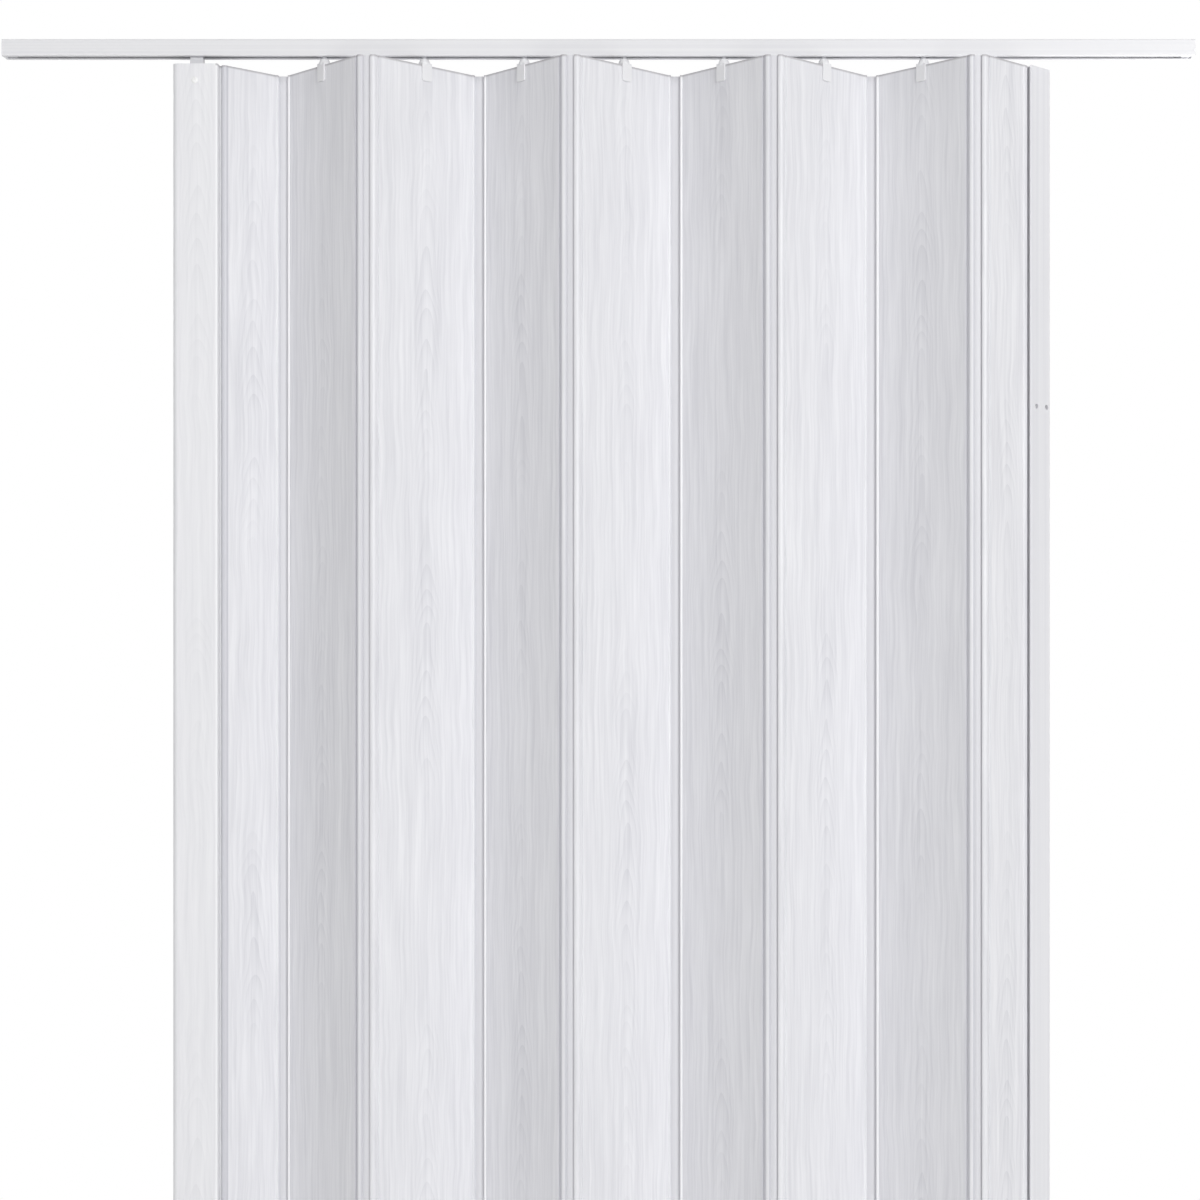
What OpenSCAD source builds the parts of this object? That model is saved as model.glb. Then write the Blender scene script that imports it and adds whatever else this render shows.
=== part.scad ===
// Accordion folding door: hollow slats in zigzag, joined by channel strips, hung from one rail.
// Origin: middle of the rail's top face. +X to the wall end, +Y to the back, +Z up.
// Every slat is an extrusion with an open round channel along each edge. A hinge strip is a
// flat web with a bead along both edges. Each bead turns in one slat's channel, so it is the
// hinge pin for the whole height.

/* [Rail] */
// Length of the rail
rail_len = 1000; // [960:10:1400]
// Depth of the rail from front to back
rail_d = 14; // [13.5:0.1:20]
// Height of the rail
rail_h = 14; // [12:0.5:18]
// Wall of the rail
rail_wall = 1.3; // [1.0:0.1:1.5]
// Width of the slot along the rail's underside
rail_slot = 7; // [5.5:0.1:8]
// Depth of a plug into the rail's end
plug_len = 10; // [6:1:12]
// Diameter of a fixing hole in the rail's top
rail_hole_d = 4.2; // [3:0.1:5]
// Distance of the outermost fixing holes from the rail's ends
rail_hole_end = 50; // [30:1:110]

/* [Slats] */
// Length of the slats, lead profile and wall profile
slat_len = 2020; // [1400:10:2400]
// Width of a full slat, from hinge axis to hinge axis
slat_w = 100; // [80:1:106]
// Thickness of a slat
slat_t = 6; // [5:0.1:7]
// Wall of a slat
slat_wall = 0.9; // [0.7:0.05:1.2]
// Thickness of the ribs between a slat's chambers
slat_rib = 0.8; // [0.6:0.05:1.2]
// Number of chambers in a full slat, an odd number
slat_cells = 7; // [5:2:9]
// Gap between the rail and the top of the slats
top_gap = 7; // [6.5:0.1:10]
// Angle between the slats and the rail
fold_deg = 42.3; // [22.3:0.1:80]
// Distance from the rail's right end to the wall profile's hinge
wall_end = 143; // [60:1:165]

/* [Hinges] */
// Diameter of the bead along a hinge strip's edge
bead_d = 3; // [2.6:0.1:3.4]
// Thickness of the web that joins a strip's two beads
web_t = 1.1; // [0.8:0.05:1.2]
// Wall of the channel round a bead
channel_wall = 1.8; // [1.3:0.05:1.9]
// Clearance round a bead in its channel
bead_clear = 0.06; // [0.03:0.01:0.1]
// Clearance between the web and the channel's mouth
mouth_clear = 0.2; // [0.1:0.01:0.24]
// Distance between the two beads of one hinge strip
hinge_pitch = 10; // [9:0.1:12]
// Clearance between a slat's channel and the profile that it hinges on
edge_clear = 0.6; // [0.4:0.05:1]
// Smallest angle between the slats and the rail
fold_min = 22.3; // [21:0.1:40]
// Largest angle between the slats and the rail
fold_max = 80; // [60:1:80]
// How far the wall profile swings back from its slat
wall_swing = 67; // [10:1:67]

/* [Lead profile] */
// Width of the lead profile, from the hinge axis to its outer edge
lead_w = 42; // [40:0.5:44]
// Thickness of the lead profile
lead_t = 18; // [16:0.5:22]
// Wall of the lead profile
lead_wall = 1.3; // [1.0:0.1:1.8]
// Radius of the lead profile's outer corners
lead_round = 5; // [3:0.5:7]
// Radius of the lead profile's corners beside the hinge
lead_inner_round = 4; // [2:0.5:6]
// Width of the middle chamber, which takes the hanger
hanger_room = 14; // [12:0.5:15]
// Distance from the hinge axis to the hanger
hanger_in = 23; // [20:0.5:26]
// Height of the hanger's block inside the lead profile
hanger_h = 26; // [22:1:40]
// Width of the hanger's neck
hanger_neck_w = 11; // [8:0.5:12]
// Depth of the hanger's screw below the profile's top
hanger_screw_down = 14; // [8:0.5:18]

/* [Wall profile] */
// Width of the wall profile behind its hinge
wall_w = 26; // [24:0.5:28]
// How far the wall profile's face stands in front of its hinge
wall_proud = 7.3; // [6.5:0.1:8]
// Depth of the wall profile's channel
wall_d = 8.3; // [7:0.1:9]
// Wall of the wall profile
wall_wall = 1.4; // [1.1:0.1:1.6]
// Width of the lips along the channel's open side
wall_lip = 3; // [2:0.1:4.5]
// How far the wall profile's face reaches past its channel, over the hinge
wall_nose = 3; // [0:0.1:4]
// Diameter of a wall screw hole
wall_hole_d = 4.2; // [3:0.1:5]
// Distance between the two holes of a pair
wall_hole_pitch = 13; // [11:0.5:13]
// Depth of the first pair of holes below the top
wall_hole_first = 286; // [100:1:500]
// Number of pairs of holes
wall_hole_rows = 3; // [2:1:5]

/* [Gliders] */
// Length of a sliding shoe along the rail
shoe_len = 15; // [12:0.5:16]
// Height of a sliding shoe
shoe_h = 7.5; // [5:0.5:8]
// Clearance of a shoe on each side inside the rail
shoe_clear = 0.3; // [0.25:0.05:0.5]
// Diameter of a slider's neck
pin_d = 4; // [3:0.1:4.4]
// Clearance round the neck in the clip's bore
pin_clear = 0.08; // [0.04:0.01:0.1]
// Diameter of the button head under the neck
head_d = 6.4; // [5.4:0.1:7]
// Thickness of the button head
head_h = 1.4; // [1:0.1:1.6]
// Clearance round the button head
head_clear = 0.3; // [0.2:0.05:0.4]
// Wall of the clip round the button head
clip_wall = 1.5; // [1.2:0.1:1.8]
// Gap between the rail and the clip
clip_gap = 1.8; // [1.5:0.1:2]
// Width of a clip's tab along the slat
tab_w = 9.5; // [8:0.1:10]
// Length of a clip's tabs down the slat's faces
tab_len = 13.5; // [10:0.5:18]
// Thickness of a clip's tab
tab_t = 1.3; // [1:0.1:1.6]
// Diameter of the nub that snaps into the slat
nub_d = 3; // [2.4:0.1:3.6]
// Clearance of fixed pieces in their seats
fit_clear = 0.1; // [0.05:0.01:0.12]

/* [Handles] */
// Height of the handles' middle above the slats' lower edge
handle_z = 990; // [300:10:1200]
// Distance between a handle's two posts
handle_span = 96; // [70:1:130]
// Diameter of the handle's grip
grip_d = 10; // [8:0.5:12]
// Clear gap between the grip and the lead profile
grip_gap = 22; // [18:0.5:30]
// Diameter of a handle's post
post_d = 9; // [8:0.5:10]
// Diameter of a handle's foot
foot_d = 16; // [14:0.5:18]
// Thickness of a handle's foot
foot_t = 2.5; // [1.5:0.1:4]
// Diameter of the handle's and hanger's screws
screw_d = 3; // [2.5:0.1:3.5]
// Diameter of the screws' heads
screw_head_d = 5.6; // [5:0.1:6]

/* [Hidden] */

eps = 0.01;
white = [0.93, 0.93, 0.94];
ash = [0.89, 0.89, 0.90];
clip_white = [0.96, 0.96, 0.96];
shoe_grey = [0.72, 0.73, 0.74];
steel = [0.75, 0.76, 0.78];

// heights
slat_top = -rail_h - top_gap;
slat_bottom = slat_top - slat_len;
handle_mid = slat_bottom + handle_z;

// the fold: full slats cross the rail's centre line at their middles, and the strips stay
// parallel to the rail, one at every fold
half_w = slat_w / 2;
run = half_w * cos(fold_deg);
depth = half_w * sin(fold_deg);
step = 2 * run + hinge_pitch;
wall_x = rail_len / 2 - wall_end;
lead_x = wall_x - 8 * step;

// x of the middle of full slat i, 2 to 8
function slat_x(i) = wall_x - (9 - i) * step;
// full slats run to the front on their right when i is even
function slat_turn(i) = i % 2 == 0 ? -fold_deg : fold_deg;

// channels
bore_r = bead_d / 2 + bead_clear;
channel_r = bore_r + channel_wall;
profile_start = channel_r + edge_clear;
web_margin = asin((web_t / 2 + mouth_clear) / bore_r);

// a slat's chambers keep this far from the hinge axes
cell_inset = channel_r + slat_wall;
cell_w = (slat_w - 2 * cell_inset - (slat_cells - 1) * slat_rib) / slat_cells;

// gliders
inside_d = rail_d - 2 * rail_wall;
shoe_d = inside_d - 2 * shoe_clear;
shoe_bottom = -rail_h + rail_wall + shoe_clear;
clip_top = -rail_h - clip_gap;
head_top = slat_top + head_clear + head_h;
room_top = head_top + head_clear;
clip_d = head_d + 2 * head_clear + 2 * clip_wall;
nub_z = slat_top - tab_len + nub_d;
hole_clear = 0.2;

// four fixing holes in the rail, evenly spaced
rail_hole_pitch = (rail_len - 2 * rail_hole_end) / 3;

// lead profile and its hanger
hanger_x = lead_x - hanger_in;
hanger_d = lead_t - 2 * lead_wall - 2 * fit_clear;
hanger_w = hanger_room - 2 * fit_clear;
hanger_neck_d = rail_slot - 4 * shoe_clear;
screw_z = slat_top - hanger_screw_down;
screw_head_h = 1.8;

round_steps = [0:15:90];

// ---------- outlines ----------

function reversed(p) = [for (i = [len(p) - 1:-1:0]) p[i]];
function mirror_v(p) = [for (q = p) [q[0], -q[1]]];

// Wedge that opens a channel's mouth between two directions
module mouth(from, to) {
  mid = (from + to) / 2;
  reach = 2 * channel_r;
  polygon([[0, 0], for (a = [from, mid, to]) reach * [cos(a), sin(a)]]);
}

// Slat that goes to the back on its right. Its mouths are on the inner side of each fold:
// towards the front at the right edge, towards the back at the left edge.
module slat_section(width, cells, right_mouth) {
  half = width / 2;
  pitch = cell_w + slat_rib;
  difference() {
    union() {
      square([width, slat_t], center = true);
      for (side = [-1, 1]) translate([side * half, 0]) circle(r = channel_r, $fn = 64);
    }
    for (side = [-1, 1]) translate([side * half, 0]) circle(r = bore_r, $fn = 48);
    translate([half, 0]) mouth(right_mouth[0], right_mouth[1]);
    translate([-half, 0]) mouth(180 - fold_max - web_margin, 180 - fold_min + web_margin);
    for (i = [0:cells - 1])
      translate([(i - (cells - 1) / 2) * pitch, 0])
        square([cell_w, slat_t - 2 * slat_wall], center = true);
  }
}

fold_mouth = [-fold_max - web_margin, -fold_min + web_margin];
wall_mouth = [-web_margin, wall_swing + web_margin];

module tall() {
  translate([0, 0, slat_bottom]) linear_extrude(slat_len) children();
}

// Hinge strip: a bead along each edge of a flat web
module hinge_section() {
  square([hinge_pitch, web_t], center = true);
  for (side = [-1, 1]) translate([side * hinge_pitch / 2, 0]) circle(d = bead_d, $fn = 48);
}

// Bead at the origin on a web that runs to x, for the two end profiles
module edge_bead(x) {
  circle(d = bead_d, $fn = 48);
  translate([x < 0 ? x : 0, -web_t / 2]) square([abs(x), web_t]);
}

// A quarter turn of radius r about a corner's centre, from angle a to a + 90
function corner(x, y, r, a) = [for (t = [0:15:90]) [x + r * cos(a + t), y + r * sin(a + t)]];

// Lead profile's outline, drawn in by e on every side; the hinge axis is at the origin
module lead_outline(e) {
  right = -profile_start;
  side = concat(
    corner(right - lead_inner_round, lead_t / 2 - lead_inner_round, lead_inner_round - e, 0),
    corner(-lead_w + lead_round, lead_t / 2 - lead_round, lead_round - e, 90));
  polygon(concat(side, reversed(mirror_v(side))));
}

module lead_section() {
  rib_x = hanger_room / 2 + slat_rib / 2;
  difference() {
    lead_outline(0);
    difference() {
      lead_outline(lead_wall);
      for (side = [-1, 1])
        translate([-hanger_in + side * rib_x, 0]) square([slat_rib, lead_t], center = true);
    }
  }
  edge_bead(-profile_start - lead_wall / 2);
}

// Wall profile in its own frame: hinge axis at the origin, x away from its slat, y to the back
wall_room = wall_w - profile_start - 2 * wall_wall;
wall_hole_x = profile_start + wall_wall + wall_room / 2;

module wall_section() {
  back = wall_d - wall_proud - wall_wall;
  translate([profile_start - wall_nose, -wall_proud])
    square([wall_w - profile_start + wall_nose, wall_wall]);
  for (x = [profile_start, wall_w - wall_wall])
    translate([x, -wall_proud]) square([wall_wall, wall_d]);
  translate([profile_start, back]) square([wall_wall + wall_lip, wall_wall]);
  translate([wall_w - wall_wall - wall_lip, back]) square([wall_wall + wall_lip, wall_wall]);
  edge_bead(profile_start + wall_wall / 2);
}

// ---------- rail ----------

module rail_section() {
  inside_h = rail_h - 2 * rail_wall;
  difference() {
    translate([-rail_d / 2, -rail_h]) square([rail_d, rail_h]);
    translate([-inside_d / 2, -rail_h + rail_wall]) square([inside_d, inside_h]);
    translate([-rail_slot / 2, -rail_h - eps]) square([rail_slot, rail_wall + 2 * eps]);
  }
}

// Turns a section drawn in (y, z) into a bar along x
module along_x(length) {
  translate([-length / 2, 0, 0]) rotate([90, 0, 90]) linear_extrude(length) children();
}

module rail() {
  color(white) difference() {
    along_x(rail_len) rail_section();
    for (n = [-1.5, -0.5, 0.5, 1.5])
      translate([n * rail_hole_pitch, 0, -rail_wall - 1]) cylinder(d = rail_hole_d, h = rail_wall + 2, $fn = 32);
  }
}

// Plug for one end, flush with the rail, with a tongue that fills the slot
module rail_end_plug(side) {
  plug_h = rail_h - 2 * rail_wall - 2 * fit_clear;
  plug_d = inside_d - 2 * fit_clear;
  tongue_d = rail_slot - 2 * fit_clear;
  hollow = 2;
  color(white) translate([side * (rail_len - plug_len) / 2, 0, 0]) difference() {
    union() {
      translate([-plug_len / 2, -plug_d / 2, -rail_h + rail_wall + fit_clear])
        cube([plug_len, plug_d, plug_h]);
      translate([-plug_len / 2, -tongue_d / 2, -rail_h])
        cube([plug_len, tongue_d, rail_wall + 2 * fit_clear]);
    }
    translate([-plug_len / 2 - side * hollow, -plug_d / 2 + hollow, -rail_h + rail_wall + hollow])
      cube([plug_len, plug_d - 2 * hollow, plug_h - 2 * hollow]);
  }
}

// ---------- slats ----------

// Two nub holes through a full slat, one in each face, in its middle chamber
module nub_holes() {
  translate([0, 0, nub_z]) rotate([90, 0, 0])
    cylinder(d = nub_d + 2 * hole_clear, h = slat_t + 2, center = true, $fn = 32);
}

module full_slat(i) {
  color(ash) translate([slat_x(i), 0, 0]) rotate([0, 0, slat_turn(i)]) difference() {
    tall() mirror([0, i % 2 == 0 ? 1 : 0]) slat_section(slat_w, slat_cells, fold_mouth);
    nub_holes();
  }
}

half_cells = (slat_cells - 1) / 2;

// Half slat between the lead profile and the first fold at the back
module slat_1() {
  color(ash) translate([lead_x + run / 2, depth / 2, 0]) rotate([0, 0, fold_deg])
    tall() slat_section(half_w, half_cells, fold_mouth);
}

// Half slat between the last fold at the front and the wall profile
module slat_9() {
  color(ash) translate([wall_x - run / 2, -depth / 2, 0]) rotate([0, 0, fold_deg])
    tall() slat_section(half_w, half_cells, wall_mouth);
}

// ---------- hinge strips ----------

module front_hinge(n) {
  color(white) translate([slat_x(2 * n) + step / 2, -depth, 0]) tall() hinge_section();
}

module back_hinge(n) {
  color(white) translate([slat_x(2 * n) - step / 2, depth, 0]) tall() hinge_section();
}

// ---------- gliders ----------

// A bar with half-round ends
module runner(length, width, height) {
  straight = length - width;
  translate([-straight / 2, -width / 2, 0]) cube([straight, width, height]);
  for (side = [-1, 1])
    translate([side * straight / 2, 0, 0]) cylinder(d = width, h = height, $fn = 40);
}

// Shoe with a waist, so that it touches the rail only along its upper and lower bands
module shoe(length) {
  band = shoe_h / 3;
  waist = 0.8;
  for (z = [0, shoe_h - band])
    translate([0, 0, shoe_bottom + z]) runner(length, shoe_d, band);
  translate([0, 0, shoe_bottom + band]) runner(length - 2 * waist, shoe_d - 2 * waist, band);
}

module slider(i) {
  color(shoe_grey) translate([slat_x(i), 0, 0]) {
    shoe(shoe_len);
    translate([0, 0, head_top - eps]) cylinder(d = pin_d, h = shoe_bottom - head_top + 2 * eps, $fn = 40);
    translate([0, 0, head_top - head_h]) cylinder(d = head_d, h = head_h, $fn = 48);
  }
}

// Clip astride the slat's top edge: a bored shoulder, two tabs and the nubs that hold it
module glider_clip(i) {
  room_d = head_d + 2 * head_clear;
  seat = slat_t / 2 + fit_clear;
  shoulder_d = pin_d + 2 * clip_wall;
  color(clip_white) translate([slat_x(i), 0, 0]) rotate([0, 0, slat_turn(i)]) {
    difference() {
      union() {
        translate([0, 0, room_top]) cylinder(d1 = clip_d, d2 = shoulder_d, h = clip_top - room_top, $fn = 48);
        translate([0, 0, slat_top + fit_clear])
          cylinder(d = clip_d, h = room_top - slat_top - fit_clear, $fn = 48);
        for (side = [-1, 1])
          translate([-tab_w / 2, side * (seat + tab_t / 2) - tab_t / 2, slat_top - tab_len])
            cube([tab_w, tab_t, tab_len + room_top - slat_top - head_clear]);
      }
      translate([0, 0, slat_top - eps]) cylinder(d = room_d, h = room_top - slat_top + eps, $fn = 48);
      translate([0, 0, room_top - 1])
        cylinder(d = pin_d + 2 * pin_clear, h = clip_top - room_top + 2, $fn = 40);
    }
    for (side = [-1, 1])
      translate([0, side * (seat - slat_wall / 2), nub_z]) rotate([90, 0, 0])
        cylinder(d = nub_d, h = slat_wall + 2 * eps, center = true, $fn = 32);
  }
}

// ---------- lead profile ----------

handle_posts = [for (side = [-1, 1]) handle_mid + side * handle_span / 2];

module cross_hole(x, z, d) {
  translate([x, 0, z]) rotate([90, 0, 0]) cylinder(d = d, h = lead_t + 2, center = true, $fn = 32);
}

module lead_profile() {
  color(ash) difference() {
    translate([lead_x, 0, 0]) tall() lead_section();
    translate([hanger_x, -lead_t / 2, screw_z]) rotate([90, 0, 0])
      cylinder(d = screw_d + 2 * hole_clear, h = 4 * lead_wall, center = true, $fn = 32);
    for (z = handle_posts) cross_hole(hanger_x, z, screw_d + 2 * hole_clear);
  }
}

// Block in the lead profile, neck through the rail's slot, and shoe
module lead_hanger() {
  block_top = slat_top - fit_clear;
  pocket = 3;
  color(shoe_grey) translate([hanger_x, 0, 0]) difference() {
    union() {
      shoe(2 * shoe_len - 6);
      translate([-hanger_neck_w / 2, -hanger_neck_d / 2, block_top - eps])
        cube([hanger_neck_w, hanger_neck_d, shoe_bottom - block_top + 2 * eps]);
      translate([-hanger_w / 2, -hanger_d / 2, block_top - hanger_h])
        cube([hanger_w, hanger_d, hanger_h]);
    }
    // pocket in the block's back
    translate([-hanger_w / 2 + pocket, pocket, block_top - hanger_h + pocket])
      cube([hanger_w - 2 * pocket, hanger_d, hanger_h - 2 * pocket]);
    translate([0, 0, screw_z]) rotate([90, 0, 0])
      cylinder(d = screw_d, h = hanger_d + 1, $fn = 32);
  }
}

module lead_hanger_screw() {
  color(clip_white) translate([hanger_x, -lead_t / 2, screw_z]) rotate([90, 0, 0]) {
    cylinder(d1 = screw_head_d, d2 = screw_head_d - 2, h = screw_head_h / 2, $fn = 40);
    translate([0, 0, -lead_wall - 4]) cylinder(d = screw_d, h = lead_wall + 4 + eps, $fn = 32);
  }
}

// ---------- wall profile ----------

wall_hole_step = (slat_len - 2 * wall_hole_first) / (wall_hole_rows - 1);

module wall_profile() {
  color(ash) translate([wall_x, 0, 0]) rotate([0, 0, fold_deg]) difference() {
    tall() wall_section();
    for (row = [0:wall_hole_rows - 1], side = [-1, 1])
      translate([wall_hole_x + side * wall_hole_pitch / 2, -wall_proud + wall_wall / 2,
        slat_top - wall_hole_first - row * wall_hole_step])
        rotate([90, 0, 0]) cylinder(d = wall_hole_d, h = 2 * wall_wall, center = true, $fn = 32);
  }
}

// ---------- handles ----------

// Bow handle on the face at y = lead_t / 2, with a grip that stands clear of it
module handle(side) {
  face = lead_t / 2;
  grip_y = face + grip_gap + grip_d / 2;
  color(white) translate([hanger_x, 0, 0]) mirror([0, side < 0 ? 1 : 0, 0]) {
    for (z = handle_posts) translate([0, face, z]) rotate([-90, 0, 0]) difference() {
      union() {
        cylinder(d = foot_d, h = foot_t / 2, $fn = 48);
        translate([0, 0, foot_t / 2]) cylinder(d1 = foot_d, d2 = foot_d - foot_t, h = foot_t / 2, $fn = 48);
        cylinder(d = post_d, h = grip_gap + grip_d / 2, $fn = 40);
      }
      translate([0, 0, -1]) cylinder(d = screw_d + (side < 0 ? 0 : 2 * hole_clear),
        h = grip_gap + (side < 0 ? 0 : grip_d + 2), $fn = 32);
      if (side > 0) translate([0, 0, grip_gap + grip_d / 2 - 1])
        cylinder(d = screw_head_d + 2 * hole_clear, h = grip_d, $fn = 40);
    }
    difference() {
      union() {
        translate([0, grip_y, handle_mid - handle_span / 2]) cylinder(d = grip_d, h = handle_span, $fn = 40);
        for (z = handle_posts) translate([0, grip_y, z]) sphere(d = grip_d, $fn = 40);
      }
      if (side > 0) for (z = handle_posts) translate([0, grip_y - 1, z]) rotate([-90, 0, 0])
        cylinder(d = screw_head_d + 2 * hole_clear, h = grip_d, $fn = 40);
      for (z = handle_posts) translate([0, face, z]) rotate([-90, 0, 0])
        cylinder(d = screw_d + (side < 0 ? 0 : 2 * hole_clear), h = grip_gap + (side < 0 ? 0 : 6), $fn = 32);
    }
  }
}

// Two screws from the back handle, through the lead profile, into the front handle
module handle_screws() {
  back = lead_t / 2 + grip_gap + grip_d / 2 - 1;
  front = lead_t / 2 + grip_gap - 4;
  color(steel) for (z = handle_posts) translate([hanger_x, 0, z]) rotate([-90, 0, 0]) {
    translate([0, 0, -front]) cylinder(d = screw_d, h = front + back + eps, $fn = 32);
    translate([0, 0, back]) cylinder(d = screw_head_d, h = screw_head_h, $fn = 40);
  }
}

// ---------- parts ----------

rail();
rail_end_plug(-1);  // rail_end_plug_left
rail_end_plug(1);  // rail_end_plug_right
for (i = [2:8]) slider(i);
for (i = [2:8]) glider_clip(i);
slat_1();
for (i = [2:8]) full_slat(i);
slat_9();
for (n = [1:4]) front_hinge(n);
for (n = [1:4]) back_hinge(n);
lead_profile();
lead_hanger();
lead_hanger_screw();
wall_profile();
handle(-1);  // handle_front
handle(1);  // handle_back
handle_screws();
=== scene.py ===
# %% [markdown]
# # A white accordion door on its rail
# The door is a row of hollow PVC slats that fold in zigzag. Each slat is a long extrusion with an
# open round channel along both edges, and between two slats runs a narrow strip with a round bead
# along both of its edges, which turns in those channels. Seven of the slats hang from the rail on
# small gliders. A thick profile leads the door on the left and a slim one holds it to the wall on
# the right. In this lesson nearly everything is an outline that is filled and pushed up, which is
# how an extruded profile comes out of its die, too.

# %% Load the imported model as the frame
import math

import bmesh
import bpy
from mathutils import Matrix, Vector


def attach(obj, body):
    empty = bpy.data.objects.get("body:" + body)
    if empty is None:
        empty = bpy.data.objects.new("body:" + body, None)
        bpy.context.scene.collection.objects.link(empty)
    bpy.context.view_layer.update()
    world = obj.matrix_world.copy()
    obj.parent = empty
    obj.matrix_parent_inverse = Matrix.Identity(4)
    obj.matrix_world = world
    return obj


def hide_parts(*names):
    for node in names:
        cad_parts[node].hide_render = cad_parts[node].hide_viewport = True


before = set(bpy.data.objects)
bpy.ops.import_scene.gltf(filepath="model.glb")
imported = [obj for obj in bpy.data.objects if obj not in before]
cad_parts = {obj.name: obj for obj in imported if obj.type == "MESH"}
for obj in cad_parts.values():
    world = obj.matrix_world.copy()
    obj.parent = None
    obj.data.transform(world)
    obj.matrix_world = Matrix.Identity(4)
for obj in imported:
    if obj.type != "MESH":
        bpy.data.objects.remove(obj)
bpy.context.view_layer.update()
scene = bpy.context.scene

# %% [markdown]
# ## The camera
# The photograph looks straight at the rail from 1.68 m in front of it, half a metre below its
# top, so that the slats' upper edges run up and down like roof lines. The object's middle isn't
# in the picture's middle, so the camera's shift moves the frame sideways and keeps the rail level.

# %% Camera
camera = bpy.data.objects.new("camera", bpy.data.cameras.new("camera"))
camera.data.lens = 60.06
camera.data.sensor_width = 36
camera.data.shift_x = -0.125
camera.location = (0.127, -1.684, -0.470)
camera.rotation_euler = (math.radians(90), 0, 0)
scene.collection.objects.link(camera)
scene.camera = camera
scene.view_settings.view_transform = "Standard"
print("camera at", tuple(round(c, 3) for c in camera.location))

# %% [markdown]
# ## Sizes
# The sizes are those of the CAD model, in millimetres, with the origin in the middle of the
# rail's top face, x to the wall end, y to the back and z up. The two positions along the rail
# and the angle of fold give every other place, because the folds are all alike.

# %% Sizes that several pieces share
FOLD = 42.3                                # angle between the slats and the rail, in degrees
SLAT, HALF = 100, 50                       # widths from hinge axis to hinge axis
TOP, BOTTOM = -21, -2041                   # ends of the slats and of the end profiles
LEAD_X, WALL_X = -314.70, 357.0            # hinge axes of the two end profiles
RUN = HALF * math.cos(math.radians(FOLD))  # how far half a slat reaches along the rail
DEPTH = HALF * math.sin(math.radians(FOLD))           # and from its middle line to a fold
STRIP = 10                                 # distance between a strip's two beads
STEP = 2 * RUN + STRIP


def slat_x(i):
    """Middle of slat i along the rail."""
    return WALL_X - (9 - i) * STEP


print("fold step", round(STEP, 2), "mm, fold depth", round(2 * DEPTH, 2), "mm")

# %% [markdown]
# ## Drawing an outline
# A profile's section is a closed outline. It could be typed as a long list of points, but a list
# says nothing of what the shape is. Here an outline is a row of corners, some of them rounded,
# and of turns about a centre. The pen starts as one vertex: `extrude_vert_indiv` pulls it to the
# next corner and `spin` swings it round a centre, so that both leave an edge behind them.

# %% Outline helper
def at(x, y, radius, degrees):
    """The point at that distance and direction from (x, y)."""
    angle = math.radians(degrees)
    return x + radius * math.cos(angle), y + radius * math.sin(angle)


def outline(bm, items, arc=12):
    """Closed outline in the XY plane. An item is a corner (x, y) or (x, y, radius), or a turn
    ("turn", x, y, degrees) of the pen about (x, y), between two sharp corners. A turn has a
    vertex about every arc degrees."""
    corners = [i for i, item in enumerate(items) if item[0] != "turn"]
    first = tip = None

    def swing(tip, centre, degrees):
        turned = bmesh.ops.spin(bm, geom=[tip], cent=(*centre, 0), axis=(0, 0, 1),
                                angle=math.radians(degrees),
                                steps=max(2, round(abs(degrees) / arc)))
        return turned["geom_last"][0]

    for i, item in enumerate(items):
        if item[0] == "turn":
            tip = swing(tip, item[1:3], item[3])
            continue
        here = Vector(item[:2])
        place = corners.index(i)
        back = (Vector(items[corners[place - 1]][:2]) - here).normalized()
        ahead = (Vector(items[corners[(place + 1) % len(corners)]][:2]) - here).normalized()
        radius = item[2] if len(item) > 2 else 0
        turn = math.pi - back.angle(ahead) if radius else 0
        start = here + back * radius * math.tan(turn / 2)
        if tip is None:
            first = tip = bm.verts.new((*start, 0))
        else:
            tip = bmesh.ops.extrude_vert_indiv(bm, verts=[tip])["verts"][0]
            tip.co = (*start, 0)
        if radius:
            centre = here + (back + ahead).normalized() * (radius / math.cos(turn / 2))
            side = 1 if back.cross(ahead) < 0 else -1
            tip = swing(tip, centre, side * math.degrees(turn))
    bm.edges.new((tip, first))


def box_items(x0, x1, y0, y1, *radii):
    """A rectangle's corners, with one radius or those of the left, right, right and left ones."""
    a, b, c, d = radii * 4 if len(radii) == 1 else radii
    return [(x0, y0, a), (x1, y0, b), (x1, y1, c), (x0, y1, d)]


test = bmesh.new()
outline(test, box_items(0, 10, 0, 5, 1))
print("test outline:", len(test.edges), "edges")
test.free()

# %% [markdown]
# ## From an outline to an extrusion
# `triangle_fill` fills one outline or several, and `extrude_face_region` pushes the filled
# section up to its length. The chambers of a hollow profile are made in the same way, as one
# tool of several bars that is cut from the solid profile afterwards: filling a section with
# many holes at once can span a hole by mistake. Doubles are merged and the normals
# recalculated, so that every face points outwards.

# %% Fill and push up
def merge(bm):
    """Join doubles, drop walls that a spin has left inside, and turn the faces outwards."""
    bmesh.ops.remove_doubles(bm, verts=bm.verts, dist=1e-4)
    inside = [f for f in bm.faces if all(len(e.link_faces) > 2 for e in f.edges)]
    bmesh.ops.delete(bm, geom=inside, context="FACES_ONLY")
    bmesh.ops.recalc_face_normals(bm, faces=bm.faces)
    return bm


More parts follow.
